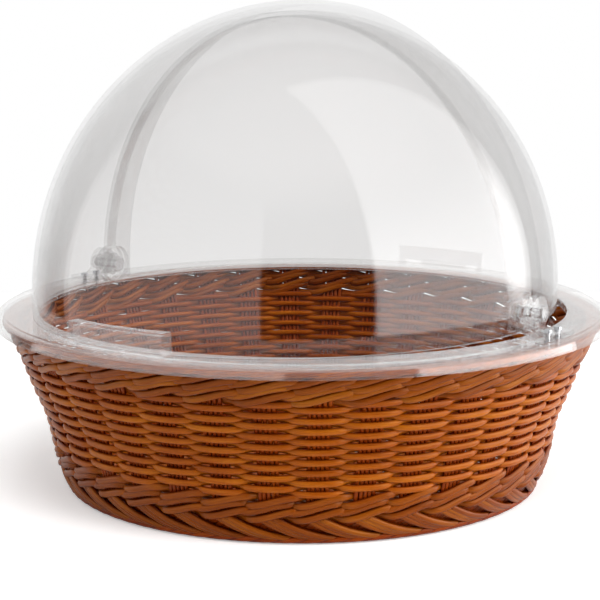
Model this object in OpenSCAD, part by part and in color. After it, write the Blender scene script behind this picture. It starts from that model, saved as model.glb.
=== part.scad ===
// Countertop bread display bin: a round woven basket with a clear rim ring
// and two clear dome covers, one nested in the other, that roll open on shared
// side pivots.
// Millimetres. Z is up, the bin stands on z = 0 and its centre line is the Z axis.
// The pivots lie along X. The outer cover opens from the front (-Y), the inner one from the back.

/* [Overall] */
// Outer radius of the rim ring, the widest piece. The basket and both covers follow it
rim_out_r = 208.5; // [185:0.5:230]
// Height of the flat top of the rim ring
rim_z = 121; // [108:0.5:134]

/* [Basket wall] */
// How far the top of the wall stays inside the top border
wall_inset = 2.1; // [1:0.1:4]
// How much the wall's radius shrinks from its top to the upper bend
upper_taper = 13.5; // [8:0.5:18]
// How much it shrinks from the upper bend to the lower bend
lower_taper = 11.5; // [6:0.5:16]
// How much it shrinks from the lower bend to the foot border
foot_taper = 6.5; // [4:0.5:10]
// Height of the upper bend
wall_upper_z = 80; // [70:1:90]
// Height of the lower bend
wall_lower_z = 50; // [40:1:60]
// Height of the bottom end of the woven wall
wall_foot_z = 22; // [20:0.5:26]
// Number of stake groups round the basket, an even number
stake_groups = 36; // [24:2:40]
// Number of stakes that stand side by side in a group
stakes_in_group = 5; // [2:1:5]
// Width of one stake
stake_w = 2.6; // [2:0.1:3]
// Thickness of one stake
stake_t = 2.4; // [1.8:0.1:3]
// Free space between the stakes of a group
stake_gap = 0.4; // [0.3:0.1:0.6]
// Height of one woven strand
strand_h = 3.3; // [2.5:0.1:4]
// Least free height between two woven rows
row_space = 0.7; // [0.5:0.1:1.5]
// Thickness of one woven strand
strand_t = 2.6; // [2:0.1:3]
// Diameter of a wale strand
wale_d = 4.2; // [3:0.1:4.4]
// Number of wale strands one above the other, both at the top and at the foot
wale_rows = 3; // [2:1:3]
// Free space between wale strands
wale_gap = 0.2; // [0.2:0.1:0.6]
// Free space between woven strands and stakes
weave_gap = 0.35; // [0.3:0.05:0.6]

/* [Basket borders and base] */
// Free space between the top border and the skirt of the rim ring
border_play = 2.4; // [1:0.1:4]
// Radial width of the top border
border_w = 11; // [10:0.5:12]
// Height of the top border
border_h = 4.2; // [4:0.1:5]
// Diameter of the wire hoops inside the two borders
hoop_d = 3; // [2:0.1:3]
// How far the foot ring stays inside the foot of the wall
foot_inset = 7.5; // [5:0.5:10]
// Radial width of the foot ring
foot_w = 9; // [8:0.5:10]
// Height of the foot ring
foot_h = 6; // [5:0.5:7]
// Diameter of a slanted strand in the foot border
plait_d = 3.2; // [2.4:0.1:3.4]
// Number of slanted strands in a bundle of the foot border, one bundle for each stake group
plaits_in_group = 3; // [2:1:3]
// Length round the basket that a slanted strand covers
plait_run = 22; // [16:1:30]
// Free space between the slanted strands of a bundle
plait_gap = 0.4; // [0.3:0.1:0.8]
// Width of one round of the woven base
round_w = 6; // [5:0.5:8]
// Thickness of the woven base
base_t = 5; // [4:0.5:6]
// Radius of the bare centre disc that ties the base
base_eye_r = 18; // [12:1:24]

/* [Rim ring] */
// Free space between the end of the outer cover and the opening in the rim ring
rim_room = 5; // [4:0.5:6]
// How far the flat seat that the covers close on stays inside the skirt
seat_inset = 6.1; // [5.5:0.1:9]
// Step down outside the seat
seat_step = 0.8; // [0.4:0.1:1.2]
// Wall thickness of the rim ring
rim_t = 3; // [2.5:0.1:3]
// Depth of the outer skirt below the seat
skirt_h = 8; // [6:0.5:10]
// Radius of the shoulder between the flange and the skirt
shoulder_r = 3.6; // [3.2:0.1:4.5]
// How much the skirt leans outward from the shoulder to its lower edge
skirt_lean = 0.8; // [0.2:0.1:1]
// Depth of the inner lip below the seat
lip_h = 5; // [4:0.5:7]

/* [Covers] */
// How far the outer cover stays inside the edge of the seat
cover_inset = 9.4; // [8:0.1:12]
// How much less the outer cover reaches along the pivot line than square to it
pivot_inset = 19; // [17:0.5:24]
// Free space between the two covers, square to the pivot line
nest_gap = 4; // [3.5:0.1:5]
// Free space between the two covers at the pivots
nest_end = 1.8; // [1.7:0.1:2.4]
// Wall thickness of both covers
shell_t = 3; // [2.5:0.1:3]
// How far the outer cover reaches behind the pivot line at the top
outer_lap = 20; // [12:1:22]
// How far the inner cover reaches in front of the pivot line at the top
inner_lap = 11.4; // [8:0.2:16]
// Width of the thickened band along the free edge of the inner cover
band_w = 9; // [6:0.5:12]
// Extra thickness of that band, on the inside of the cover
band_t = 1; // [0.6:0.1:1.4]
// Free space between a closed cover and the seat
seat_gap = 0.3; // [0.3:0.1:0.6]
// Height of the pivot line above the seat
pivot_rise = 12.5; // [12:0.5:14]

/* [Handles] */
// Width of a cover handle
handle_w = 74; // [60:1:80]
// Height of a cover handle
handle_h = 14; // [10:0.5:16]
// How far the outer handle stands in front of its cover
handle_stand = 5; // [4:0.5:6]
// Wall thickness of the outer handle
handle_t = 2.6; // [2:0.1:3]
// Free space left where the grip strip of the inner cover passes under the outer cover
pass_gap = 0.8; // [0.5:0.1:1.5]
// Height of the undercut that gives the fingers a hold on the grip strip
undercut_h = 4; // [3:0.5:6]
// Width of the grip strip left at each side of the undercut
grip_end = 6.4; // [5:0.1:10]
// Free space between a closed handle and the seat
handle_gap = 0.7; // [0.5:0.1:1.2]

/* [Pivots] */
// Diameter of the pivot pins
pin_d = 6; // [5:0.1:8]
// Radial running clearance round a pin
pin_play = 0.1; // [0.05:0.01:0.1]
// Radius of the round boss on a cover
boss_r = 13; // [11:0.5:14]
// How far the boss stands out from the end of a cover
boss_rise = 1; // [0.8:0.1:1.2]
// Free width round a boss in the flat face inside the outer cover
spot_room = 1.5; // [1:0.1:3]
// Thickness of a spacer washer
washer_t = 1.1; // [0.8:0.1:1.2]
// Radius of a spacer washer
washer_r = 8; // [6:0.5:9]
// Side clearance on each face of a washer, head or cap
side_play = 0.15; // [0.1:0.01:0.2]
// Width of a pivot bracket, also twice the radius of its round top
bracket_w = 22; // [20:0.5:24]
// Thickness of the upright ear of a bracket
bracket_t = 5.6; // [4:0.1:7]
// Thickness of the foot plate of a bracket
plate_t = 2.6; // [2:0.1:3]
// Thickness of a bracket's ribs
rib_t = 2.4; // [2:0.1:3]
// Height and reach of a bracket's ribs
rib_h = 7; // [5:0.5:9]
// Free seat outside a foot plate
plate_margin = 1.4; // [0.5:0.1:6]
// Radius of the head and of the cap on a pin
head_r = 6; // [5:0.1:7]
// Thickness of the head of a pin
head_t = 2.4; // [2:0.1:3]
// Length of the cap that closes a pin
cap_t = 4; // [3.5:0.1:6]
// Thickness of the closed end of the cap
cap_end_t = 1; // [0.8:0.1:1.5]
// How much the heads and caps narrow toward their faces
edge_taper = 1; // [0.5:0.1:1.5]
// Diameter of the bracket screws
screw_d = 3; // [2.5:0.1:3.5]
// Distance of a bracket screw from the middle of its bracket
screw_side = 6.5; // [6:0.1:7.5]
// Diameter of the screw heads
screw_head_d = 5.7; // [5:0.1:6.2]
// Height of the screw heads
screw_head_h = 1.6; // [1.2:0.1:2]

/* [Hidden] */

weave_colour = [0.62, 0.36, 0.14];
weave_dark = [0.50, 0.28, 0.11];
clear_colour = [0.86, 0.90, 0.93, 0.45];
steel_colour = [0.70, 0.71, 0.73];

// facets of a ring, of a small round part, and steps of a drawn curve
ring_fn = 180;
small_fn = 48;
curve_steps = 44;
// a length that reaches past every piece, for cuts
past = 3 * rim_out_r;
// how far a cut starts outside what it cuts, and how deep joined solids reach into each other
over = 1;
fit_gap = 0.1;

// the basket's top border sits just under the rim ring, and the wall just under the border
seat_fit = 0.2;
strand_fit = 0.3;
rim_under = rim_z - seat_step - rim_t;
border_z = rim_under - seat_fit - border_h;
border_r = rim_out_r - rim_t - border_play;
wall_top_z = border_z - strand_fit;
wall_top_r = border_r - wall_inset;
wall_upper_r = wall_top_r - upper_taper;
wall_lower_r = wall_upper_r - lower_taper;
wall_foot_r = wall_lower_r - foot_taper;
foot_r = wall_foot_r - foot_inset;

// basket wall: the middle surface runs this far inside the outer profile
weave_reach = stake_t / 2 + weave_gap + strand_t / 2;
wall_half = weave_reach + strand_t / 2;
wall_line = [
    [wall_foot_z, wall_foot_r],
    [wall_lower_z, wall_lower_r],
    [wall_upper_z, wall_upper_r],
    [wall_top_z, wall_top_r]
];
function mid_r(z) = lookup(z, wall_line) - wall_half;

group_step = 360 / stake_groups;
// turn of the first stake group from the X axis
first_stake = 8;
function arc_angle(length, radius) = length / radius * 180 / PI;
stake_angle = arc_angle(stake_w, wall_lower_r);
stake_pitch_angle = arc_angle(stake_w + stake_gap, wall_lower_r);
// length that a woven strand runs on past the stakes of a group before it bends
run_on = 1;
group_half = (stake_pitch_angle * (stakes_in_group - 1) + stake_angle) / 2 + arc_angle(run_on, wall_lower_r);

wale_pitch = wale_d + wale_gap;
upper_wale_z = wall_top_z - wale_d / 2;
lower_wale_z = wall_foot_z + wale_d / 2;
rows_bottom = lower_wale_z + (wale_rows - 1) * wale_pitch + wale_d / 2 + strand_h / 2 + weave_gap / 2;
rows_top = upper_wale_z - (wale_rows - 1) * wale_pitch - wale_d / 2 - strand_h / 2 - weave_gap / 2;
// an even number of rows, so that the top and the bottom row alternate
weave_rows = 2 * floor(((rows_top - rows_bottom) / (strand_h + row_space) + 1) / 2);
row_pitch = (rows_top - rows_bottom) / (weave_rows - 1);

// covers
seat_r = rim_out_r - seat_inset;
outer_r = seat_r - cover_inset;
outer_len = outer_r - pivot_inset;
rim_in_r = outer_len + rim_room;
inner_r = outer_r - shell_t - nest_gap;
inner_len = outer_len - shell_t - nest_end;
handle_reach = outer_r + handle_stand;
grip_t = nest_gap - pass_gap;
plate_end_r = seat_r - plate_margin;
pivot_z = rim_z + pivot_rise;
boss_face = outer_len + boss_rise;
ear_face = boss_face + washer_t + 2 * side_play;
ear_back = ear_face + bracket_t;
inner_boss_back = inner_len - shell_t - boss_rise;
spot_face = inner_len + washer_t + 2 * side_play;
head_face = inner_boss_back - side_play;
// foot of the edge band, just above the pivot boss
band_foot = boss_r + over;
// free length between the end of a pin and the closed end of its cap
pin_room = 0.4;
pin_end = ear_back + cap_t - cap_end_t - pin_room;
// the screws stop just above the underside of the rim ring
screw_tip = rim_under + 2 * fit_gap;
// a screw's shank reaches this far into its head
shank_in_head = 0.4;

// points of an ellipse arc from angle a to angle b, half axes p along x and q along y
function ellipse_arc(p, q, a, b, n) = [
    for (i = [0 : n])
        let (t = a + (b - a) * i / n)
        [p * cos(t), q * sin(t)]
];

// points of a circle arc
function arc(c, r, a, b, n) = [
    for (i = [0 : n])
        let (t = a + (b - a) * i / n)
        [c[0] + r * cos(t), c[1] + r * sin(t)]
];

// ---------- basket ----------

module basket_base() {
    // thickness of the base between its rounds
    web_t = base_t * 0.6;
    base_r = foot_r - foot_w - strand_fit;
    rounds = floor((base_r - base_eye_r) / round_w);
    last_w = base_r - base_eye_r - (rounds - 1) * round_w;
    color(weave_dark)
    translate([0, 0, foot_h / 2 + base_t / 2])
    rotate_extrude($fn = ring_fn)
    union() {
        translate([0, -web_t / 2])
            square([base_r - last_w / 2, web_t]);
        for (i = [0 : rounds - 1])
            translate([i == rounds - 1 ? base_r - last_w / 2 : base_eye_r + (i + 0.5) * round_w, 0])
            round_section(i == rounds - 1 ? last_w : round_w);
    }
}

// one round of the base in section, an eight-sided lens
module round_section(w) {
    side = base_t * 0.22;
    polygon([
        [-w / 2, -side], [-w / 4, -base_t / 2], [w / 4, -base_t / 2], [w / 2, -side],
        [w / 2, side], [w / 4, base_t / 2], [-w / 4, base_t / 2], [-w / 2, side]
    ]);
}

// one stake: a strip of the wall's middle surface, bent as the wall is
module stake() {
    inside = -stake_t / 2;
    outside = stake_t / 2;
    low = wall_foot_z;
    high = wall_top_z;
    rotate_extrude(angle = stake_angle, $fn = ring_fn)
    polygon([
        [mid_r(low) + outside, low], [mid_r(wall_lower_z) + outside, wall_lower_z],
        [mid_r(wall_upper_z) + outside, wall_upper_z], [mid_r(high) + outside, high],
        [mid_r(high) + inside, high], [mid_r(wall_upper_z) + inside, wall_upper_z],
        [mid_r(wall_lower_z) + inside, wall_lower_z], [mid_r(low) + inside, low]
    ]);
}

module side_stakes() {
    color(weave_dark)
    for (k = [0 : stake_groups - 1], s = [0 : stakes_in_group - 1])
        rotate([0, 0, first_stake + k * group_step
            + (s - (stakes_in_group - 1) / 2) * stake_pitch_angle - stake_angle / 2])
        stake();
}

// one woven row: a closed strand that passes in front of one stake group and behind the next
module woven_row(z, phase) {
    r = mid_r(z);
    bends = stake_groups * 2;
    section = [
        [0, -strand_h / 2],
        [strand_t / 2, 0],
        [0, strand_h / 2],
        [-strand_t / 2, 0]
    ];
    points = [
        for (i = [0 : bends - 1])
            let (
                k = floor(i / 2),
                a = first_stake + k * group_step + (i % 2 == 0 ? -group_half : group_half),
                side = (k + phase) % 2 == 0 ? weave_reach : -weave_reach
            )
            for (p = section)
                [(r + side + p[0]) * cos(a), (r + side + p[0]) * sin(a), z + p[1]]
    ];
    faces = [
        for (i = [0 : bends - 1], q = [0 : 3])
            let (
                j = (i + 1) % bends,
                p = (q + 1) % 4
            )
            for (half = [0, 1])
                half == 0 ? [4 * i + q, 4 * j + p, 4 * j + q] : [4 * i + q, 4 * i + p, 4 * j + p]
    ];
    polyhedron(points, faces);
}

module wall_weave_odd() {
    color(weave_colour)
    for (row = [0 : 2 : weave_rows - 1])
        woven_row(rows_bottom + row * row_pitch, 0);
}

module wall_weave_even() {
    color(weave_colour)
    for (row = [1 : 2 : weave_rows - 1])
        woven_row(rows_bottom + row * row_pitch, 1);
}

// one pair of wale strands, outside and inside the stakes
module wale_pair(z) {
    reach = stake_t / 2 + weave_gap + wale_d / 2;
    for (side = [-1, 1])
        translate([0, 0, z])
        rotate_extrude($fn = ring_fn)
        translate([mid_r(z) + side * reach, 0])
        circle(d = wale_d, $fn = small_fn);
}

module upper_wale() {
    color(weave_colour)
    for (i = [0 : wale_rows - 1])
        wale_pair(upper_wale_z - i * wale_pitch);
}

module lower_wale() {
    color(weave_colour)
    for (i = [0 : wale_rows - 1])
        wale_pair(lower_wale_z + i * wale_pitch);
}

// a hoop wire lies in a round channel inside its border
module border_section(w, h) {
    corner = h * 0.35;
    difference() {
        hull()
            for (x = [-w / 2 + corner, w / 2 - corner], y = [corner, h - corner])
                translate([x, y])
                circle(r = corner, $fn = small_fn);
        translate([0, h / 2])
            circle(d = hoop_d + 2 * fit_gap, $fn = small_fn);
    }
}

module top_border() {
    color(weave_colour)
    translate([0, 0, border_z])
    rotate_extrude($fn = ring_fn)
    translate([border_r - border_w / 2, 0])
    border_section(border_w, border_h);
}

module hoop(r, z) {
    translate([0, 0, z])
    rotate_extrude($fn = ring_fn)
    translate([r, 0])
    circle(d = hoop_d, $fn = small_fn);
}

module rim_hoop() {
    color(steel_colour)
    hoop(border_r - border_w / 2, border_z + border_h / 2);
}

module foot_ring() {
    color(weave_dark)
    rotate_extrude($fn = ring_fn)
    translate([foot_r - foot_w / 2, 0])
    border_section(foot_w, foot_h);
}

module foot_hoop() {
    color(steel_colour)
    hoop(foot_r - foot_w / 2, foot_h / 2);
}

// slanted strands between the foot ring and the lower wale, a bundle for each stake group
module foot_border() {
    sides = 8;
    end_room = plait_d / 2 + strand_fit;
    low = [foot_r - plait_d, foot_h + end_room];
    high = [mid_r(wall_foot_z) + strand_t / 2, wall_foot_z - end_room];
    a = arc_angle(plait_run, foot_r) / 2;
    from = [high[0] * cos(a), high[0] * sin(-a), high[1]];
    to = [low[0] * cos(a), low[0] * sin(a), low[1]];
    run = to - from;
    flat = norm([run[0], run[1]]);
    // two strands of a bundle stand this far apart round the basket
    lean = asin(run[1] / norm(run));
    spread = arc_angle((plait_d + plait_gap) / cos(lean), low[0]);
    color(weave_colour)
    for (k = [0 : stake_groups - 1], s = [0 : plaits_in_group - 1])
        rotate([0, 0, k * group_step + (s - (plaits_in_group - 1) / 2) * spread])
        translate(from)
        rotate([0, atan2(flat, run[2]), atan2(run[1], run[0])])
        rotate([0, 0, 180 / sides])
        cylinder(h = norm(run), d = plait_d, $fn = sides);
}

// ---------- rim ring ----------

module rim_section() {
    top = rim_z;
    step = top - seat_step;
    out_top = rim_out_r - skirt_lean;
    lip_round = 1.2;
    polygon(concat(
        [[rim_in_r, top - lip_h]],
        arc([rim_in_r + lip_round, top - lip_round], lip_round, 180, 90, 4),
        [[seat_r, top], [seat_r + seat_step, step]],
        arc([out_top - shoulder_r, step - shoulder_r], shoulder_r, 90, 0, 8),
        [[rim_out_r, top - skirt_h], [rim_out_r - rim_t, top - skirt_h]],
        arc([out_top - shoulder_r, step - shoulder_r], shoulder_r - rim_t, 0, 90, 3),
        [[rim_in_r + rim_t, rim_under], [rim_in_r + rim_t, top - lip_h]]
    ));
}

module rim_ring() {
    color(clear_colour)
    difference() {
        rotate_extrude($fn = ring_fn)
            rim_section();
        for (end = [0, 180])
            rotate([0, 0, end])
            bracket_screw_places()
            translate([0, 0, rim_under - over])
            cylinder(d = screw_d + 2 * fit_gap, h = rim_z - rim_under + 2 * over, $fn = small_fn);
    }
}

// ---------- covers ----------

// solid of revolution about the pivot line
module ellipsoid(len, r) {
    rotate([0, 90, 0])
    rotate_extrude($fn = ring_fn)
    rotate(-90)
    polygon(ellipse_arc(len, r, 0, 180, curve_steps));
}

// the closed shell of a cover: the skin between two ellipses, turned round the pivot line
module cover_skin(len, r, t) {
    rotate([0, 90, 0])
    rotate_extrude($fn = ring_fn)
    rotate(-90)
    polygon(concat(
        ellipse_arc(len, r, 0, 180, curve_steps),
        ellipse_arc(len - t, r - t, 180, 0, curve_steps)
    ));
}

// what a closed cover keeps: the part above the seat on its own side, with a round ear at each pivot
// and the part beyond its free edge cut away. The cover lies on the -Y side and laps past the pivots.
module cover_keep(lap) {
    union() {
        translate([-past / 2, -past / 2, seat_gap - pivot_rise])
            cube([past, past / 2 + lap, past]);
        rotate([0, 90, 0])
            cylinder(r = boss_r, h = past, center = true, $fn = small_fn);
    }
}

// a cover in its own frame: the pivot line is the X axis
module cover(len, r, lap, boss_out, boss_in) {
    difference() {
        union() {
            intersection() {
                cover_skin(len, r, shell_t);
                cover_keep(lap);
            }
            // round bosses at the pivots
            for (side = [-1, 1])
                rotate([0, 90 * side, 0])
                translate([0, 0, boss_in])
                cylinder(r = boss_r, h = boss_out - boss_in, $fn = small_fn);
        }
        rotate([0, 90, 0])
            cylinder(d = pin_d + 2 * pin_play, h = past, center = true, $fn = small_fn);
    }
}

module outer_cover() {
    color(clear_colour)
    translate([0, 0, pivot_z])
    difference() {
        cover(outer_len, outer_r, outer_lap, boss_face, spot_face);
        // flat face for the washer between the covers
        rotate([0, 90, 0])
            cylinder(r = boss_r + spot_room, h = 2 * spot_face, center = true, $fn = small_fn);
    }
}

module inner_cover() {
    color(clear_colour)
    translate([0, 0, pivot_z])
    rotate([0, 0, 180])
    union() {
        cover(inner_len, inner_r, inner_lap, inner_len, inner_boss_back);
        // band along the free edge
        intersection() {
            cover_skin(inner_len - shell_t, inner_r - shell_t, band_t);
            translate([-past / 2, inner_lap - band_w, band_foot])
                cube([past, band_w, past]);
        }
    }
}

// a hooded grip: a front plate with a top web and two end webs that meet the outer cover
module outer_handle() {
    low = handle_gap - pivot_rise;
    // the hood starts this far behind its front face, inside the cover, where it is cut away
    depth = 4 * handle_stand;
    inside = [handle_w - 2 * handle_t, depth, handle_h - handle_t + over];
    color(clear_colour)
    translate([0, 0, pivot_z])
    difference() {
        translate([-handle_w / 2, -handle_reach, low])
            cube([handle_w, depth, handle_h]);
        translate([-inside[0] / 2, handle_t - handle_reach, low - over])
            cube(inside);
        ellipsoid(outer_len + fit_gap, outer_r + fit_gap);
    }
}

// a low grip strip that follows the inner cover, undercut along its foot for the fingers
module inner_handle() {
    low = handle_gap - pivot_rise;
    color(clear_colour)
    translate([0, 0, pivot_z])
    difference() {
        intersection() {
            cover_skin(inner_len + grip_t, inner_r + grip_t, grip_t - fit_gap);
            translate([-handle_w / 2, 0, low])
                cube([handle_w, past, handle_h]);
        }
        translate([0, 0, low - over])
        linear_extrude(undercut_h + over)
        square([handle_w - 2 * grip_end, 2 * (inner_r + grip_t / 2)], center = true);
    }
}

// ---------- pivots, drawn for the right side (+X) ----------

module bracket_screw_places() {
    for (side = [-1, 1])
        translate([(ear_back + plate_end_r) / 2, side * screw_side, 0])
        children();
}

module bracket() {
    half = bracket_w / 2;
    color(clear_colour)
    difference() {
        union() {
            // upright ear with a round top
            translate([ear_face, 0, pivot_z])
            rotate([0, 90, 0])
                cylinder(r = half, h = bracket_t, $fn = small_fn);
            translate([ear_face, -half, rim_z])
                cube([bracket_t, bracket_w, pivot_rise]);
            // foot plate on the rim ring
            translate([ear_face, -half, rim_z])
                cube([plate_end_r - ear_face - half * half / (2 * plate_end_r), bracket_w, plate_t]);
            // two ribs that stiffen the ear
            for (side = [-1, 1])
                translate([ear_back, side * (half - rib_t / 2) + rib_t / 2, rim_z + plate_t])
                rotate([90, 0, 0])
                linear_extrude(rib_t)
                polygon([[-over, -over], [rib_h, -over], [rib_h, 0], [0, rib_h], [-over, rib_h]]);
        }
        translate([0, 0, pivot_z])
        rotate([0, 90, 0])
            cylinder(d = pin_d + 2 * fit_gap, h = past, $fn = small_fn);
        bracket_screw_places()
            translate([0, 0, rim_z - over])
            cylinder(d = screw_d + 2 * fit_gap, h = plate_t + 2 * over, $fn = small_fn);
    }
}

module bracket_right() {
    bracket();
}

module bracket_left() {
    rotate([0, 0, 180])
    bracket();
}

module pivot_pin() {
    color(clear_colour)
    translate([0, 0, pivot_z])
    rotate([0, 90, 0])
    union() {
        translate([0, 0, head_face - head_t])
            cylinder(r1 = head_r - edge_taper, r2 = head_r, h = head_t, $fn = small_fn);
        translate([0, 0, head_face - over])
            cylinder(d = pin_d, h = pin_end - head_face + over, $fn = small_fn);
    }
}

module pivot_pin_right() {
    pivot_pin();
}

module pivot_pin_left() {
    rotate([0, 0, 180])
    pivot_pin();
}

module pin_cap() {
    color(clear_colour)
    translate([ear_back + side_play, 0, pivot_z])
    rotate([0, 90, 0])
    difference() {
        cylinder(r1 = head_r, r2 = head_r - edge_taper, h = cap_t, $fn = small_fn);
        translate([0, 0, -over])
            cylinder(d = pin_d + 2 * fit_gap, h = cap_t - cap_end_t + over, $fn = small_fn);
    }
}

module pin_cap_right() {
    pin_cap();
}

module pin_cap_left() {
    rotate([0, 0, 180])
    pin_cap();
}

module washer(x) {
    translate([x, 0, pivot_z])
    rotate([0, 90, 0])
    difference() {
        cylinder(r = washer_r, h = washer_t, $fn = small_fn);
        translate([0, 0, -over])
            cylinder(d = pin_d + 2 * fit_gap, h = washer_t + 2 * over, $fn = small_fn);
    }
}

// between the outer cover and the brackets
module bearing_washers() {
    color(clear_colour)
    for (end = [0, 180])
        rotate([0, 0, end])
        washer(boss_face + side_play);
}

// between the two covers
module cover_washers() {
    color(clear_colour)
    for (end = [0, 180])
        rotate([0, 0, end])
        washer(inner_len + side_play);
}

module bracket_screws() {
    color(steel_colour)
    for (end = [0, 180])
        rotate([0, 0, end])
        bracket_screw_places()
        union() {
            translate([0, 0, screw_tip])
                cylinder(d = screw_d, h = rim_z + plate_t + shank_in_head - screw_tip, $fn = small_fn);
            translate([0, 0, rim_z + plate_t])
                cylinder(d1 = screw_head_d, d2 = screw_head_d * 0.8, h = screw_head_h, $fn = small_fn);
        }
}

basket_base();
side_stakes();
wall_weave_odd();
wall_weave_even();
upper_wale();
lower_wale();
top_border();
rim_hoop();
foot_border();
foot_ring();
foot_hoop();
rim_ring();
bracket_left();
bracket_right();
pivot_pin_left();
pivot_pin_right();
pin_cap_left();
pin_cap_right();
bearing_washers();
cover_washers();
bracket_screws();
outer_cover();
outer_handle();
inner_cover();
inner_handle();
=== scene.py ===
import math

import bpy
import numpy as np
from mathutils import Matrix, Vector


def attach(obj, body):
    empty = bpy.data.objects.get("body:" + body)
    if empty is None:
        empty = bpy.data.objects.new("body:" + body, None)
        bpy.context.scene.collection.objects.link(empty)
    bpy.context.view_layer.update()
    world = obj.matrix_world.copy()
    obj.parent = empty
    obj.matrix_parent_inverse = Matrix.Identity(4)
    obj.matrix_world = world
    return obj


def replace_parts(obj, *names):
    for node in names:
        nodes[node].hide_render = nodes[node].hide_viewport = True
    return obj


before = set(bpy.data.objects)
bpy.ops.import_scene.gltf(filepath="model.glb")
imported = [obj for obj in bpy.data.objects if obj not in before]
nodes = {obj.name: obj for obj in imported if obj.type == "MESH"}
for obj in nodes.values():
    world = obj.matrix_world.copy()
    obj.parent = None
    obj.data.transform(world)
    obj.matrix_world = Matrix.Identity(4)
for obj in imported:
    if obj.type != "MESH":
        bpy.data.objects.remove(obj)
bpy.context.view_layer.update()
rng = np.random.default_rng(11)

# Lengths are in mm, as in the solids, up to the point where a mesh is built. Angles are in radians.
MM = 0.001
FULL_TURN = 2 * math.pi

# ---------- driving sizes of the basket ----------

GROUPS = 36
STAKES_IN_GROUP = 5
GROUP_STEP = math.radians(360 / GROUPS)
FIRST_STAKE = math.radians(8)
STRAND_HALF_T = 1.5
# how far a row swings out of the middle of the wall, to each side of the stakes
REACH = 2.75
# how far a closed strand strays from its even course
STRAY = 0.25
# outer face of the basket: height, radius
PROFILE = [(-2, 158.5), (4, 162.5), (12, 167), (26, 170.2), (33.5, 172.4), (47.5, 175), (55, 177.4),
           (62, 180.2), (69, 183.4), (76, 186.2), (83, 188.8), (90, 191.3), (104, 196.8), (113, 200.4),
           (120, 203)]

# ---------- driving sizes of the covers ----------

RIM_Z = 121.0
PIVOT_Z = RIM_Z + 12.5
SEAT_Z = RIM_Z + 0.3
SHELL_T = 3.0
OUTER_R = 193.0
OUTER_LEN = OUTER_R - 19.0
OUTER_LAP = 20.0
INNER_R = OUTER_R - SHELL_T - 4.0
INNER_LEN = OUTER_LEN - SHELL_T - 1.8
INNER_LAP = 11.4
BAND_W = 9.0
BAND_T = 1.0
BOSS_R = 13.0
BOSS_RISE = 1.0
BORE_R = 3.1
WASHER_ROOM = 1.4


def smooth_profile():
    """The profile at every half millimetre, with its corners rounded over about 8 mm."""
    window = 17
    heights = np.arange(-8.0, 128.0, 0.5)
    radii = np.interp(heights, [z for z, r in PROFILE], [r for z, r in PROFILE])
    padded = np.pad(radii, window // 2, mode="edge")
    return heights, np.convolve(padded, np.ones(window) / window, mode="valid")


PROFILE_Z, PROFILE_R = smooth_profile()


def outer_r(z):
    return np.interp(z, PROFILE_Z, PROFILE_R)


def mid_r(z):
    return outer_r(z) - REACH - STRAND_HALF_T


def radial(theta):
    return np.stack([np.cos(theta), np.sin(theta), np.zeros_like(theta)], -1)


def polar(r, theta, z):
    return np.stack([r * np.cos(theta), r * np.sin(theta), np.broadcast_to(z, np.shape(theta))], -1)


def upward(count):
    return np.broadcast_to([0, 0, 1.0], (count, 3))


def angles_round(count):
    return np.arange(count) * FULL_TURN / count


def step_between(wave, sharpness):
    """A wave from -1 to 1 that stays longer at its ends, as a strand does that crosses over."""
    return np.tanh(sharpness * wave) / math.tanh(sharpness)


def any_phase():
    return rng.uniform(0, 6.28)


def wander(theta, waves=5):
    """A small smooth closed wobble round the basket."""
    out = np.zeros_like(theta)
    for k in range(1, waves + 1):
        out += np.sin(k * theta * rng.integers(1, 4) + any_phase()) * rng.uniform(0.3, 1)
    return out * STRAY / waves


# ---------- strand meshes ----------

# what the Strand map runs through once round a strand
ROUND = FULL_TURN * 1.8 * MM
# each strand starts somewhere else on the map, so no two show the same streaks
MAP_SHIFT = 0.0137
MAP_WRAP = 7.0


def sweep(path, side, half_side, half_other, closed, sections):
    """An ellipse at each point of a path, as (points, sections, 3)."""
    if closed:
        tangent = np.roll(path, -1, 0) - np.roll(path, 1, 0)
    else:
        tangent = np.gradient(path, axis=0)
    tangent /= np.linalg.norm(tangent, axis=1, keepdims=True)
    other = np.cross(tangent, side)
    other /= np.linalg.norm(other, axis=1, keepdims=True)
    across = np.cross(other, tangent)
    phi = angles_round(sections)
    a = np.broadcast_to(np.asarray(half_side, float), (len(path),))[:, None, None]
    b = np.broadcast_to(np.asarray(half_other, float), (len(path),))[:, None, None]
    along_side = across[:, None, :] * a * np.cos(phi)[None, :, None]
    along_other = other[:, None, :] * b * np.sin(phi)[None, :, None]
    return path[:, None, :] + along_side + along_other


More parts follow.
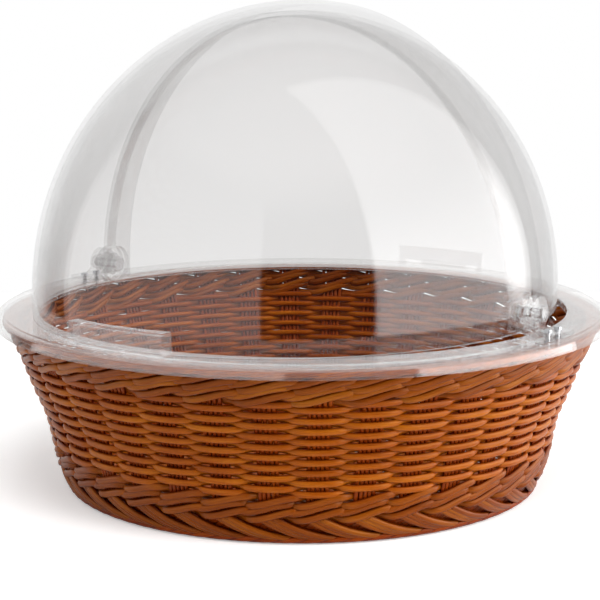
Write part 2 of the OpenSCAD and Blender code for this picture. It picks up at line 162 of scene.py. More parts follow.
class Pool:
    """Collects swept strands and turns them into one mesh."""

    def __init__(self):
        self.count = 0
        self.verts = []
        self.quads = []
        self.uvs = []
        self.tones = []

    def strand(self, path, side, half_side, half_other, closed=False, sections=8, tone=0.5):
        """path and side are (n, 3), and side is about the direction of half_side."""
        path = np.asarray(path, float)
        n = len(path)
        base = self.count
        shift = base * MAP_SHIFT % MAP_WRAP
        ring = sweep(path, side, half_side, half_other, closed, sections)
        self.verts.append(ring.reshape(-1, 3) * MM)
        self.tones.append(np.full(n * sections, tone))
        self.count += n * sections
        self.add_side(path, base, shift, n if closed else n - 1, sections)
        if not closed:
            self.add_cap(base + np.arange(sections)[::-1], shift)
            self.add_cap(base + (n - 1) * sections + np.arange(sections), shift)

    def add_side(self, path, base, shift, rows, sections):
        i = np.arange(rows)[:, None]
        j = np.arange(sections)[None, :]
        next_i = (i + 1) % len(path)
        next_j = (j + 1) % sections
        corners = (i * sections + j, i * sections + next_j, next_i * sections + next_j, next_i * sections + j)
        self.quads.append(np.stack(np.broadcast_arrays(*corners), -1).reshape(-1, 4) + base)
        step = np.linalg.norm(np.roll(path, -1, 0) - path, axis=1)
        along = np.concatenate([[0], np.cumsum(step)]) * MM
        u_here = np.broadcast_to(along[i], (rows, sections))
        u_next = np.broadcast_to(along[i + 1], (rows, sections))
        v_here = np.broadcast_to(j / sections * ROUND, (rows, sections))
        v_next = np.broadcast_to((j + 1) / sections * ROUND, (rows, sections))
        pairs = ((u_here, v_here), (u_here, v_next), (u_next, v_next), (u_next, v_here))
        uv = np.stack([np.stack(pair, -1) for pair in pairs], 2).reshape(-1, 2)
        uv[:, 0] += shift
        self.uvs.append(uv)

    def add_cap(self, rim, shift):
        cap = [[rim[0], rim[k], rim[k + 1], rim[k + 2]] for k in range(1, len(rim) - 2, 2)]
        self.quads.append(np.array(cap))
        self.uvs.append(np.tile([shift, 0.0], (len(cap) * 4, 1)))

    def build(self, name, material):
        verts = np.concatenate(self.verts)
        quads = np.concatenate(self.quads)
        mesh = bpy.data.meshes.new(name)
        mesh.vertices.add(len(verts))
        mesh.vertices.foreach_set("co", verts.astype(np.float32).ravel())
        mesh.loops.add(len(quads) * 4)
        mesh.loops.foreach_set("vertex_index", quads.astype(np.int32).ravel())
        mesh.polygons.add(len(quads))
        mesh.polygons.foreach_set("loop_start", (np.arange(len(quads)) * 4).astype(np.int32))
        mesh.update(calc_edges=True)
        layer = mesh.uv_layers.new(name="Strand")
        layer.data.foreach_set("uv", np.concatenate(self.uvs).astype(np.float32).ravel())
        attribute = mesh.attributes.new("tone", "FLOAT", "POINT")
        attribute.data.foreach_set("value", np.concatenate(self.tones).astype(np.float32))
        mesh.polygons.foreach_set("use_smooth", np.ones(len(quads), bool))
        mesh.materials.append(material)
        mesh.validate()
        return link_object(name, mesh)


def link_object(name, data):
    obj = bpy.data.objects.new(name, data)
    bpy.context.scene.collection.objects.link(obj)
    return obj


# ---------- shader nodes ----------

# sockets of the Mix node when it mixes colours
MIX_A = 6
MIX_B = 7
MIX_OUT = 2


def new_material(name):
    mat = bpy.data.materials.new(name)
    mat.use_nodes = True
    tree = mat.node_tree
    tree.nodes.clear()
    surface = tree.nodes.new("ShaderNodeOutputMaterial").inputs[0]
    return mat, tree, surface


def feed(tree, socket, value):
    """Sets a socket to a value, or links it to the socket that value is."""
    if isinstance(value, bpy.types.NodeSocket):
        tree.links.new(value, socket)
    else:
        socket.default_value = value


def add_node(tree, kind, inputs=None, **settings):
    """A new node. inputs goes from a socket's name or number to what feeds it."""
    node = tree.nodes.new("ShaderNode" + kind)
    for key, value in settings.items():
        setattr(node, key, value)
    for key, value in (inputs or {}).items():
        feed(tree, node.inputs[key], value)
    return node


def maths(tree, operation, *values):
    return add_node(tree, "Math", dict(enumerate(values)), operation=operation).outputs[0]


def noise(tree, vector, scale, detail=2.0, rough=0.5):
    inputs = {"Vector": vector, "Scale": scale, "Detail": detail, "Roughness": rough}
    return add_node(tree, "TexNoise", inputs).outputs[0]


def ramp(tree, factor, stops):
    """A colour ramp, from stops of (position, colour)."""
    node = add_node(tree, "ValToRGB", {0: factor})
    elements = node.color_ramp.elements
    for element, (position, colour) in zip(elements, (stops[0], stops[-1])):
        element.position = position
        element.color = (*colour, 1)
    for position, colour in stops[1:-1]:
        elements.new(position).color = (*colour, 1)
    return node.outputs[0]


def mix_shaders(tree, share, first, second):
    return add_node(tree, "MixShader", {0: share, 1: first, 2: second}).outputs[0]


def object_place(tree):
    return add_node(tree, "TexCoord").outputs["Object"]


def times(colour, factor):
    return tuple(c * factor for c in colour)


# ---------- materials ----------

# how much of a strand's shade comes from its streaks, its blotches and its own tone
STREAK_SHARE = 0.55
BLOTCH_SHARE = 0.35
TONE_SHARE = 0.22
# painted shade: what the flanks of every strand are multiplied by, for the shadow and bounced red light between
# strands
FLANK_SHADE_COLOUR = (0.42, 0.12, 0.03)


def strand_material(name, dark, mid, light):
    """Dyed basket cord with streaks along it. Its flanks carry painted shade: darker and redder than its outer
    and inner faces, standing in for the shadow and bounced red light between the strands.
    """
    mat, tree, surface = new_material(name)
    uv = add_node(tree, "UVMap", uv_map="Strand").outputs[0]
    stretched = add_node(tree, "Mapping", {"Vector": uv, "Scale": (45, 900, 1)}).outputs[0]
    streak = noise(tree, stretched, 1.0, 4.0, 0.6)
    blotch = noise(tree, object_place(tree), 26.0, 3.0, 0.55)
    tone = add_node(tree, "Attribute", attribute_name="tone").outputs["Fac"]
    shade = maths(tree, "MULTIPLY_ADD", streak, STREAK_SHARE, maths(tree, "MULTIPLY", blotch, BLOTCH_SHARE))
    shade = maths(tree, "MULTIPLY_ADD", tone, TONE_SHARE, shade)
    colour = ramp(tree, shade, [(0.30, dark), (0.56, mid), (0.82, light)])
    # painted shade: the flanks, turned away from the outer and inner faces, are made darker and redder
    round_map = add_node(tree, "SeparateXYZ", {0: uv}).outputs["Y"]
    round_angle = maths(tree, "MULTIPLY", round_map, FULL_TURN / ROUND)
    face = maths(tree, "ABSOLUTE", maths(tree, "COSINE", round_angle))
    painted_flank_shade = ramp(tree, face, [(0.12, FLANK_SHADE_COLOUR), (0.78, (1.0, 1.0, 1.0))])
    dye_and_painted_shade = add_node(tree, "Mix", {"Factor": 1.0, MIX_A: colour, MIX_B: painted_flank_shade},
                    data_type="RGBA", blend_type="MULTIPLY").outputs[MIX_OUT]
    bump = add_node(tree, "Bump", {"Strength": 0.35, "Distance": 0.0003, "Height": streak})
    shader = add_node(tree, "BsdfPrincipled", {
        "Base Color": dye_and_painted_shade,
        "IOR": 1.36,
        "Specular Tint": (1.0, 0.70, 0.42, 1),
        "Roughness": maths(tree, "MULTIPLY_ADD", streak, 0.22, 0.22),
        "Normal": bump.outputs[0],
    })
    feed(tree, surface, shader.outputs[0])
    return mat


# the share of light that clear plastic mirrors straight on, and what is added at the grazing edge
MIRROR_SHARE = 0.045
MIRROR_RISE = 0.95


def clear_material(name, clear, haze=0.0, rough=0.03, body=(0.80, 0.81, 0.82), graze=0.72, mirror=0.92,
                   power=5.0):
    """A thin clear plastic skin: what it mirrors grows to the grazing edge, the rest goes straight through.

    clear is the share of light that goes on through one face, haze the share that a milky body sends back, and
    graze what is left of clear at the grazing edge. mirror is how bright a mirror it is when seen straight on,
    and power how late the mirror grows.
    """
    mat, tree, surface = new_material(name)
    cloud = noise(tree, object_place(tree), 14.0, 2.0)
    facing = add_node(tree, "LayerWeight", {"Blend": 0.5}).outputs["Facing"]
    # the way through the plastic grows at a grazing angle
    tint = ramp(tree, facing, [(0.0, clear), (0.55, times(clear, 0.975)),
                               (0.85, times(clear, 0.6 + 0.4 * graze)), (1.0, times(clear, graze))])
    through = add_node(tree, "BsdfTransparent", {0: tint})
    gloss = add_node(tree, "BsdfPrincipled", {
        "Metallic": 1.0,
        "Base Color": ramp(tree, facing, [(0.35, (mirror,) * 3), (0.9, (0.96,) * 3)]),
        "Roughness": maths(tree, "MULTIPLY_ADD", cloud, rough, rough),
    })
    share = maths(tree, "MULTIPLY_ADD", maths(tree, "POWER", facing, power), MIRROR_RISE, MIRROR_SHARE)
    result = mix_shaders(tree, share, through.outputs[0], gloss.outputs[0])
    if haze:
        milk = add_node(tree, "BsdfPrincipled", {
            "Base Color": ramp(tree, cloud, [(0.3, times(body, 0.94)), (0.7, body)]),
            "Roughness": 0.35,
        })
        haze_share = maths(tree, "MULTIPLY_ADD", cloud, haze * 0.4, haze * 0.8)
        result = mix_shaders(tree, haze_share, result, milk.outputs[0])
    feed(tree, surface, result)
    return mat


def steel_material(name):
    mat, tree, surface = new_material(name)
    grain = noise(tree, object_place(tree), 900.0, 3.0)
    shader = add_node(tree, "BsdfPrincipled", {
        "Metallic": 1.0,
        "Base Color": ramp(tree, grain, [(0.3, (0.42, 0.43, 0.45)), (0.7, (0.62, 0.63, 0.65))]),
        "Roughness": maths(tree, "MULTIPLY_ADD", grain, 0.2, 0.22),
    })
    feed(tree, surface, shader.outputs[0])
    return mat


strand_mat = strand_material("strand", (0.178, 0.026, 0.0003), (0.315, 0.064, 0.0008), (0.47, 0.138, 0.005))
# painted shade: the strand colours at about three quarters, for the wale under the rim and the foot border
shaded_strand_mat = strand_material("strand_painted_shade", (0.130, 0.018, 0.0002), (0.232, 0.046, 0.0006), (0.35, 0.100, 0.004))
# painted shade: darker and redder still, for the stakes seen in the shaded windows between rows, the foot
# lining and the foot ring
stake_mat = strand_material("strand_dark", (0.13, 0.013, 0.0002), (0.24, 0.031, 0.0006), (0.36, 0.067, 0.002))
cover_mat = clear_material("clear_cover", (0.974, 0.972, 0.971), graze=0.91, mirror=0.56)
edge_mat = clear_material("clear_edge", (0.95, 0.95, 0.95), haze=0.05, rough=0.05, body=(0.60, 0.61, 0.62))
ring_mat = clear_material("clear_ring", (0.975, 0.972, 0.968), haze=0.045, body=(0.92, 0.92, 0.92), graze=0.88,
                          mirror=0.90, power=3.6)
small_mat = clear_material("clear_small", (0.985, 0.985, 0.985), haze=0.02, rough=0.04, body=(0.9, 0.9, 0.9),
                           graze=0.93, mirror=0.6)
grip_mat = clear_material("clear_grip", (0.965, 0.965, 0.965), haze=0.07, rough=0.05, body=(0.93, 0.93, 0.93),
                          graze=0.80)
milky_mat = clear_material("clear_milky", (0.965, 0.965, 0.965), haze=0.04, rough=0.06,
                           body=(0.92, 0.93, 0.94), graze=0.88, mirror=0.5)
steel_mat = steel_material("steel")


# ---------- woven basket ----------

def make_wall():
    """Closed rows, each in front of one stake group and behind the next."""
    rows = 18
    lowest_z = 34.5
    pitch = 3.55
    dip = 0.5
    sharpness = 2.1
    thick_crossing, thick_outside = 2.1, 1.45
    tall_inside, tall_crossing, tall_outside = 2.04, 2.2, 2.22
    pool = Pool()
    theta = angles_round(GROUPS * 14)
    turn = (theta - FIRST_STAKE) / GROUP_STEP
    for row in range(rows):
        swing = np.cos(math.pi * (turn + row))
        out = step_between(swing, sharpness)
        z = lowest_z + row * pitch - dip * swing + wander(theta)
        r = mid_r(z) + REACH * out + wander(theta)
        half_thick = np.interp(np.abs(out), [0, 1], [thick_crossing, thick_outside])
        half_tall = np.interp(out, [-0.6, 0, 1], [tall_inside, tall_crossing, tall_outside])
        pool.strand(polar(r, theta, z), radial(theta), half_thick, half_tall, closed=True, sections=10,
                    tone=rng.uniform(0, 1))
    return pool.build("woven_wall", strand_mat)


def make_stakes():
    """Upright groups of thin stakes, drawn together at mid height by the rows."""
    low, high = 18, 113.5
    pitch, pitch_r = 3.05, 176
    draw_in, draw_height = 0.10, 95
    sway_size, sway_length = 0.0008, 9
    half_t, half_w = 1.15, 1.38
    pool = Pool()
    z = np.linspace(low, high, 40)
    squeeze = 1 - draw_in * np.sin((z - low) / draw_height * math.pi)
    for k in range(GROUPS):
        for stake in range(STAKES_IN_GROUP):
            off_middle = (stake - (STAKES_IN_GROUP - 1) / 2) * pitch / pitch_r
            sway = sway_size * np.sin(z / sway_length + any_phase())
            theta = FIRST_STAKE + k * GROUP_STEP + off_middle * squeeze + sway
            pool.strand(polar(mid_r(z), theta, z), radial(theta), half_t, half_w, tone=rng.uniform(0, 1))
    return pool.build("side_stakes_strands", stake_mat)


def make_wale(name, lowest_z, rows, pitch, rise):
    """Rows of two strands twisted round each other, in front of one stake group and behind the next."""
    half_shift = 0.08
    sharpness, outward = 2.6, 0.25
    wale_reach = REACH + 0.3
    half_t = 1.6
    tall_inside, tall_crossing, tall_outside = 2.3, 2.35, 2.45
    pool = Pool()
    theta = angles_round(GROUPS * 16)
    for row in range(rows):
        row_shift = half_shift if row % 2 else -half_shift
        for partner in range(2):
            turn = (theta - FIRST_STAKE) / GROUP_STEP + 0.5 - partner + row_shift
            # it rises over its outer half and falls back over its inner one
            climb = -rise / 2 * np.cos(math.pi * turn)
            out = np.clip(step_between(np.sin(math.pi * turn) + outward, sharpness), -1, 1)
            z = lowest_z + row * pitch + climb + wander(theta)
            r = mid_r(z) + wale_reach * out
            half_tall = np.interp(out, [-1, 0, 1], [tall_inside, tall_crossing, tall_outside])
            pool.strand(polar(r, theta, z), radial(theta), half_t, half_tall, closed=True, sections=10,
                        tone=rng.uniform(0, 1))
    return pool.build(name, shaded_strand_mat)


def make_rolled(name, middle, half_size, count, span, half_w, half_t, material):
    """Flat strands wound once round a hoop.

    middle and half_size are (radius, height) of the roll's section, and span is how far a strand runs on
    round the basket while it goes once round the hoop.
    """
    pool = Pool()
    t = np.linspace(0, 1, 40)
    phi = FULL_TURN * t + math.pi / 2
    for k in range(count):
        theta = FULL_TURN * k / count + span * t
        r = middle[0] + (half_size[0] - half_t) * np.cos(phi)
        z = middle[1] + (half_size[1] - half_t) * np.sin(phi)
        normal = radial(theta) * (np.cos(phi) / half_size[0])[:, None]
        normal = normal + upward(len(t)) * (np.sin(phi) / half_size[1])[:, None]
        normal /= np.linalg.norm(normal, axis=1, keepdims=True)
        pool.strand(polar(r, theta, z), normal, half_t, half_w, tone=rng.uniform(0, 1))
    return pool.build(name, material)


def make_foot_border():
    """Bundles of three strands that swing down to the right and tuck under the next bundle."""
    span = math.radians(16)
    pitch_high, pitch_low, pitch_r = 3.7, 5.4, 165
    lead = 0.05
    low_z, drop, drop_power, fan = 2.9, 14.4, 1.9, 0.5
    inset, belly, stagger = 2.9, 1.1, 0.25
    tuck_from, tuck, tuck_power = 0.78, 5.6, 1.6
    jitter = 0.4
    half_t, half_w = 1.7, 2.15
    pool = Pool()
    t = np.linspace(0, 1, 30)
    left = 1 - t
    spread = (pitch_high * left + pitch_low * t) / pitch_r
    tucked = tuck * np.clip((t - tuck_from) / (1 - tuck_from), 0, 1) ** tuck_power
    for k in range(GROUPS):
        start = FIRST_STAKE + (k - lead) * GROUP_STEP
        for place in (-1, 0, 1):
            theta = start + place * spread + span * t
            z = low_z + drop * left ** drop_power + fan * place * left
            r = outer_r(z) - inset + belly * np.sin(math.pi * t) - tucked + stagger * place
            z = z + rng.uniform(-jitter, jitter) * left
            pool.strand(polar(r, theta, z), radial(theta), half_t, half_w, sections=10, tone=rng.uniform(0, 1))
    return pool.build("foot_border_strands", shaded_strand_mat)


def make_foot_lining():
    """Strands that slant the other way behind the foot border, so no light shows through it."""
    per_group = 4
    high, low = 18.5, 3.0
    span = math.radians(9)
    behind = 6.6
    half_t, half_w = 1.5, 3.0
    pool = Pool()
    t = np.linspace(0, 1, 16)
    z = high - (high - low) * t
    for k in range(GROUPS * per_group):
        theta = FIRST_STAKE + k * GROUP_STEP / per_group - span * t
        path = polar(outer_r(z) - behind, theta, z)
        pool.strand(path, radial(theta), half_t, half_w, tone=rng.uniform(0, 0.6))
    return pool.build("foot_border_lining", stake_mat)


def make_base():
    """Rounds of strand over and under pairs of spokes, with a bound centre."""
    middle_z = 5.6
    rounds, first_r, pitch = 27, 18.5, 5.15
    weave_h, sharpness = 1.35, 1.8
    round_half_t, round_half_w = 1.1, 2.78
    spoke_half_t, spoke_half_w = 1.0, 1.3
    binding_half_t, binding_half_w = 1.6, 2.1
    # every second pair of spokes starts further out
    long_from, short_from, spoke_end = 12, 60, 151.5
    short_r = short_from + 2
    half_pair, fan_r = 1.7, 22
    bindings, binding_r, binding_pitch, binding_rise = 4, 3.0, 4.2, 0.5
    pool = Pool()
    for i in range(rounds):
        mean_r = first_r + i * pitch
        spokes = GROUPS if mean_r > short_r else GROUPS // 2
        theta = angles_round(spokes * 10)
        wave = np.cos(spokes / 2 * (theta - FIRST_STAKE) + math.pi * i)
        z = middle_z + weave_h * step_between(wave, sharpness)
        path = polar(mean_r + wander(theta), theta, z)
        pool.strand(path, upward(len(theta)), round_half_t, round_half_w, closed=True, tone=rng.uniform(0, 0.8))
    for k in range(GROUPS):
        r = np.linspace(short_from if k % 2 else long_from, spoke_end, 30)
        for side in (-1, 1):
            theta = FIRST_STAKE + k * GROUP_STEP + side * half_pair / np.maximum(r, fan_r)
            path = polar(r, theta, middle_z)
            pool.strand(path, upward(len(r)), spoke_half_t, spoke_half_w, tone=rng.uniform(0, 1))
    for i in range(bindings):
        path = polar(binding_r + i * binding_pitch, angles_round(90), middle_z + binding_rise)
        pool.strand(path, upward(len(path)), binding_half_t, binding_half_w, closed=True, tone=0.4)
    return pool.build("woven_base", strand_mat)


# ---------- clear covers ----------

# a length beyond every part, for boxes that cut on one side only
PAST = 400
# how near a face has to lie to a cut to count as its edge
ON_CUT = 2e-5
DOME_STEPS = 240
ARC_POINTS = 121
BOSS_STEPS = 64


def mesh_object(name, verts, faces, *materials):
    mesh = bpy.data.meshes.new(name)
    mesh.from_pydata([tuple(v) for v in verts], [], faces)
    for material in materials:
        mesh.materials.append(material)
    mesh.validate()
    return link_object(name, mesh)


def turned(loop, steps):
    """A closed loop of (x, distance from the pivot line) turned all round that line."""
    n = len(loop)
    verts, faces = [], []
    for k in range(steps):
        phi = FULL_TURN * k / steps
        verts += [(x * MM, -p * math.cos(phi) * MM, (PIVOT_Z + p * math.sin(phi)) * MM) for x, p in loop]
        a = k * n
        b = (k + 1) % steps * n
        faces += [(a + i, a + (i + 1) % n, b + (i + 1) % n, b + i) for i in range(n)]
    return verts, faces


def box(low, high):
    verts = [(x * MM, y * MM, z * MM) for x in (low[0], high[0]) for y in (low[1], high[1])
             for z in (low[2], high[2])]
    return verts, [(0, 1, 3, 2), (4, 6, 7, 5), (0, 4, 5, 1), (2, 3, 7, 6), (0, 2, 6, 4), (1, 5, 7, 3)]


def skin(length, radius, thick):
    """The skin between two ellipses, as a loop that stops just inside the pivot bosses."""
    loop = []
    for a, b, way in ((length, radius, 1), (length - thick, radius - thick, -1)):
        stop = math.acos((BOSS_R - 0.3) / b)
        alphas = np.linspace(-stop, stop, ARC_POINTS)[::way]
        loop += [(a * math.sin(t), b * math.cos(t)) for t in alphas]
    return loop


def cut_skin(loop, low, high, name):
    """The part of a turned skin inside a box, as (verts, faces)."""
    body = mesh_object(name + "_turned", *turned(loop, DOME_STEPS))
    cutter = mesh_object(name + "_box", *box(low, high))
    cut = body.modifiers.new("cut", "BOOLEAN")
    cut.operation = "INTERSECT"
    cut.solver = "EXACT"
    cut.object = cutter
    bpy.context.view_layer.update()
    done = bpy.data.meshes.new_from_object(body.evaluated_get(bpy.context.evaluated_depsgraph_get()))
    verts = [tuple(v.co) for v in done.vertices]
    faces = [tuple(p.vertices) for p in done.polygons]
    for obj in (body, cutter):
        old = obj.data
        bpy.data.objects.remove(obj)
        bpy.data.meshes.remove(old)
    bpy.data.meshes.remove(done)
    return verts, faces


def boss(side, x_in, x_out):
    """A round boss with its bore, on the pivot line, with a rounded outer edge."""
    edge = 0.5
    bevel = 0.15
    loop = [(side * x_in, BORE_R), (side * x_out, BORE_R), (side * x_out, BOSS_R - edge),
            (side * (x_out - bevel), BOSS_R - bevel), (side * (x_out - edge), BOSS_R), (side * x_in, BOSS_R)]
    return turned(loop[::-1] if side > 0 else loop, BOSS_STEPS)


def lap_band(length, radius, lap, name):
    """The band inside a cover's lap, a hair clear of the skin."""
    sink = SHELL_T + 0.03
    low = (-PAST, lap - BAND_W, PIVOT_Z + BOSS_R + 1)
    return cut_skin(skin(length - sink, radius - sink, BAND_T), low, (PAST, lap, PAST * 2), name)


def mark_edges(mesh, lap_y):
    """Gives the second material to the faces that a cut left at the lap and at the seat."""
    for face in mesh.polygons:
        corners = [mesh.vertices[v].co for v in face.vertices]
        at_lap = all(abs(corner.y - lap_y) < ON_CUT for corner in corners)
        at_seat = all(abs(corner.z - SEAT_Z * MM) < ON_CUT for corner in corners)
        if at_lap or at_seat:
            face.material_index = 1


def make_cover(name, length, radius, lap, boss_in, boss_out, at_back=False):
    """A quarter dome that reaches past the pivots by lap. The one at the back has a band inside its lap."""
    parts = [cut_skin(skin(length, radius, SHELL_T), (-PAST, -PAST, SEAT_Z), (PAST, lap, PAST * 2), name)]
    parts += [boss(side, boss_in, boss_out) for side in (-1, 1)]
    if at_back:
        parts.append(lap_band(length, radius, lap, name + "_band"))
    half_turn = -1 if at_back else 1
    verts, faces = [], []
    for part_verts, part_faces in parts:
        base = len(verts)
        verts += [(x * half_turn, y * half_turn, z) for x, y, z in part_verts]
        faces += [tuple(base + i for i in face) for face in part_faces]
    obj = mesh_object(name, verts, faces, cover_mat, edge_mat)
    obj.data.polygons.foreach_set("use_smooth", np.ones(len(obj.data.polygons), bool))
    obj.data.set_sharp_from_angle(angle=math.radians(40))
    mark_edges(obj.data, lap * half_turn * MM)
    return obj


# ---------- the pieces on their bodies ----------

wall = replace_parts(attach(make_wall(), "bin"), "wall_weave_odd", "wall_weave_even")
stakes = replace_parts(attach(make_stakes(), "bin"), "side_stakes")
upper_twists = make_wale("upper_wale_strands", lowest_z=98.9, rows=4, pitch=4.0, rise=6.6)
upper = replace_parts(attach(upper_twists, "bin"), "upper_wale")
lower_twists = make_wale("lower_wale_strands", lowest_z=19.9, rows=3, pitch=4.6, rise=6.0)
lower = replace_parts(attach(lower_twists, "bin"), "lower_wale")
border_roll = make_rolled("top_border_strands", middle=(197.6, 114.9), half_size=(5.5, 2.1), count=96,
                          span=math.radians(36), half_w=1.75, half_t=0.75, material=strand_mat)
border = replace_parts(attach(border_roll, "bin"), "top_border")
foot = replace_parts(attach(make_foot_border(), "bin"), "foot_border")
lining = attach(make_foot_lining(), "bin")
ring_roll = make_rolled("foot_ring_strands", middle=(157.5, 3.0), half_size=(4.5, 3.0), count=72,
                        span=math.radians(24), half_w=2.0, half_t=1.0, material=stake_mat)
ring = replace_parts(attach(ring_roll, "bin"), "foot_ring")
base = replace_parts(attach(make_base(), "bin"), "basket_base")
front_dome = make_cover("front_dome", OUTER_LEN, OUTER_R, OUTER_LAP, boss_in=INNER_LEN + WASHER_ROOM,
                        boss_out=OUTER_LEN + BOSS_RISE)
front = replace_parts(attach(front_dome, "front_cover"), "outer_cover")
rear_dome = make_cover("rear_dome", INNER_LEN, INNER_R, INNER_LAP, boss_in=INNER_LEN - SHELL_T - BOSS_RISE,
                       boss_out=INNER_LEN, at_back=True)
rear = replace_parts(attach(rear_dome, "back_cover"), "inner_cover")

# the nodes that are shown as the solids are
KEPT = {
    ring_mat: ["rim_ring"],
    grip_mat: ["outer_handle"],
    small_mat: ["inner_handle", "bracket_left", "bracket_right"],
    milky_mat: ["pivot_pin_left", "pivot_pin_right", "pin_cap_left", "pin_cap_right", "bearing_washers",
                "cover_washers"],
    steel_mat: ["bracket_screws", "rim_hoop", "foot_hoop"],
}
for material, names in KEPT.items():
    for name in names:
        slots = nodes[name].data.materials
        slots.clear()
        slots.append(material)

# ---------- floor ----------

scene = bpy.context.scene
scene.view_settings.view_transform = "Standard"
# a ray through both covers, the ring and the fittings crosses more skins than the usual eight
scene.cycles.transparent_max_bounces = 24

FLOOR_R = 0.8
FLOOR_Z = -0.0002
FLOOR_GLOW = 0.36
FLOOR_SIDES = 96


def floor_material():
    """Pale paper that keeps the shadow and turns white for the camera where light falls."""
    mat, tree, surface = new_material("floor_paper")
    paper = noise(tree, object_place(tree), 60.0, 2.0)
    colour = ramp(tree, paper, [(0.3, (0.90, 0.90, 0.90)), (0.7, (0.93, 0.93, 0.93))])
    diffuse = add_node(tree, "BsdfDiffuse", {0: colour})
    is_camera = add_node(tree, "LightPath").outputs["Is Camera Ray"]
    glow = add_node(tree, "Emission", {"Strength": maths(tree, "MULTIPLY", is_camera, FLOOR_GLOW)})
    both = add_node(tree, "AddShader", {0: diffuse.outputs[0], 1: glow.outputs[0]})
    feed(tree, surface, both.outputs[0])
    return mat


def make_floor():
    """A disc, as a fan of triangles round its middle."""
    rim = [(FLOOR_R * math.cos(turn), FLOOR_R * math.sin(turn), FLOOR_Z) for turn in angles_round(FLOOR_SIDES)]
    verts = [(0, 0, FLOOR_Z)] + rim
    faces = [(0, 1 + k, 1 + (k + 1) % FLOOR_SIDES) for k in range(FLOOR_SIDES)]
    return mesh_object("floor", verts, faces, floor_material())


make_floor()


# ---------- lamps, in metres ----------

def soft_lamp(name, place, facing, size, radiance):
    """An area lamp that lights the part and isn't seen itself, not even in the plastic."""
    lamp = bpy.data.lights.new(name, "AREA")
    lamp.shape = "RECTANGLE"
    lamp.size = size[0]
    lamp.size_y = size[1]
    lamp.energy = radiance * math.pi * size[0] * size[1]
    obj = link_object(name, lamp)
    obj.location = place
    obj.rotation_mode = "QUATERNION"
    obj.rotation_quaternion = facing.to_track_quat("-Z", "Y")
    obj.visible_camera = False
    obj.visible_transmission = False
    obj.visible_glossy = False


def panel(name, a, b, low, high, radiance):
    """An upright soft box whose two vertical edges stand at a and b, facing the part."""
    a, b = Vector(a), Vector(b)
    middle = (a + b) / 2
    facing = Vector((a.y - b.y, b.x - a.x)).normalized()
    if facing.dot(middle) > 0:
        facing = -facing
    place = (middle.x, middle.y, (low + high) / 2)
    soft_lamp(name, place, facing.to_3d(), ((b - a).length, high - low), radiance)


panel("soft_right", (1.594, -0.467), (0.924, 1.30), 0.0, 1.9, 2.0)
panel("soft_left", (0.799, -1.485), (-1.52, -0.47), 0.0, 1.7, 0.50)
panel("soft_back", (0.75, 1.9), (-1.9, 0.35), 0.0, 1.6, 1.0)
panel("key", (1.50, -0.50), (1.10, 0.60), 0.2, 1.5, 2.4)
top_place = Vector((0.45, -0.65, 1.60))
soft_lamp("soft_top", top_place, Vector((0, 0, 0.1)) - top_place, (0.8, 0.8), 8.0)


# ---------- world ----------

def smooth_step(tree, value, low, high, start, end):
    """Goes from start to end while value goes from low to high."""
    inputs = {"Value": value, "From Min": low, "From Max": high, "To Min": start, "To Max": end}
    return add_node(tree, "MapRange", inputs, interpolation_type="SMOOTHSTEP").outputs[0]


def background(tree, strength, colour=(1, 1, 1, 1)):
    return add_node(tree, "Background", {0: colour, 1: strength}).outputs[0]


def towards(tree, level, azimuth_deg):
    """How far a level direction points to this side."""
    turn = math.radians(azimuth_deg)
    side = (math.cos(turn), math.sin(turn), 0)
    return add_node(tree, "VectorMath", {0: level, 1: side}, operation="DOT_PRODUCT").outputs["Value"]


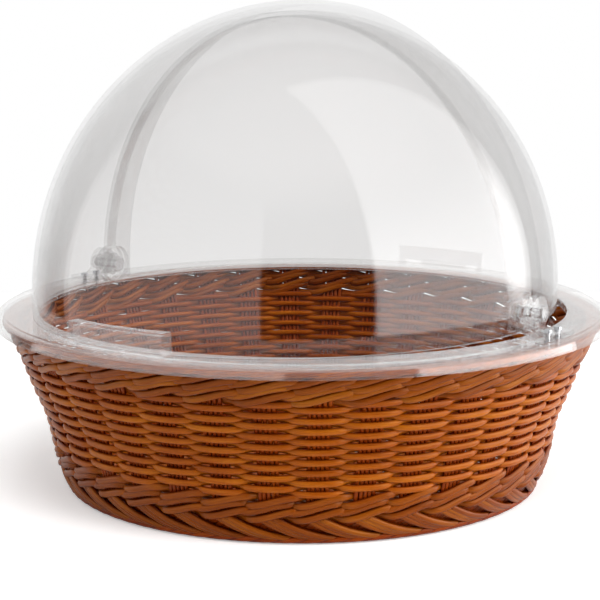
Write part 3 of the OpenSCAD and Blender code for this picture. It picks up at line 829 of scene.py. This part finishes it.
def mirrored_room(tree):
    """What mirrors see: a white backdrop behind the part, a soft box on each side, a dark gap between them."""
    direction = add_node(tree, "TexCoord").outputs["Generated"]
    across = add_node(tree, "SeparateXYZ", {0: direction}).outputs
    flat = add_node(tree, "VectorMath", {0: direction, 1: (1, 1, 0)}, operation="MULTIPLY").outputs[0]
    level = add_node(tree, "VectorMath", {0: flat}, operation="NORMALIZE").outputs[0]
    right_box = smooth_step(tree, towards(tree, level, 25), 0.77, 0.80, start=0.0, end=5.0)
    left_box = smooth_step(tree, towards(tree, level, -115.5), 0.57, 0.60, start=0.0, end=1.6)
    height = smooth_step(tree, across["Z"], 0.02, 0.60, start=1.0, end=0.52)
    boxes = maths(tree, "MULTIPLY", maths(tree, "ADD", right_box, left_box), height)
    backdrop = smooth_step(tree, across["Y"], -0.05, 0.35, start=0.05, end=0.95)
    ceiling = smooth_step(tree, across["Z"], 0.45, 0.85, start=0.0, end=1.2)
    return maths(tree, "MAXIMUM", maths(tree, "MAXIMUM", boxes, backdrop), ceiling)


def make_world():
    """White for the camera, the mirrored room for the plastic and a low even fill for the rest."""
    world = bpy.data.worlds.new("studio")
    world.use_nodes = True
    tree = world.node_tree
    tree.nodes.clear()
    path = add_node(tree, "LightPath").outputs
    fill = background(tree, 0.15, (1.0, 0.98, 0.96, 1))
    lighting = mix_shaders(tree, path["Is Glossy Ray"], fill, background(tree, mirrored_room(tree)))
    seen = maths(tree, "MAXIMUM", path["Is Camera Ray"], path["Is Transmission Ray"])
    shown = mix_shaders(tree, seen, lighting, background(tree, 1.0))
    feed(tree, tree.nodes.new("ShaderNodeOutputWorld").inputs[0], shown)
    return world


scene.world = make_world()

# ---------- camera, at the photo's angle ----------

AZIMUTH = math.radians(35)
ELEVATION = math.radians(10.1)
DISTANCE = 1.3
OFF_LEFT = 0.0017
OFF_UP = 0.0024

right = Vector((math.cos(AZIMUTH), math.sin(AZIMUTH), 0))
back = Vector((math.sin(AZIMUTH) * math.cos(ELEVATION), -math.cos(AZIMUTH) * math.cos(ELEVATION),
               math.sin(ELEVATION)))
up = back.cross(right)
# the part sits a little off the middle of the photo
aim = Vector((0, 0, RIM_Z * MM)) - right * OFF_LEFT + up * OFF_UP
camera_data = bpy.data.cameras.new("camera")
camera_data.lens = 114.0
camera_data.sensor_width = 36
camera_data.clip_start = 0.05
camera_data.clip_end = 60
camera = link_object("camera", camera_data)
camera.location = aim + back * DISTANCE
camera.rotation_mode = "QUATERNION"
camera.rotation_quaternion = (-back).to_track_quat("-Z", "Y")
scene.camera = camera
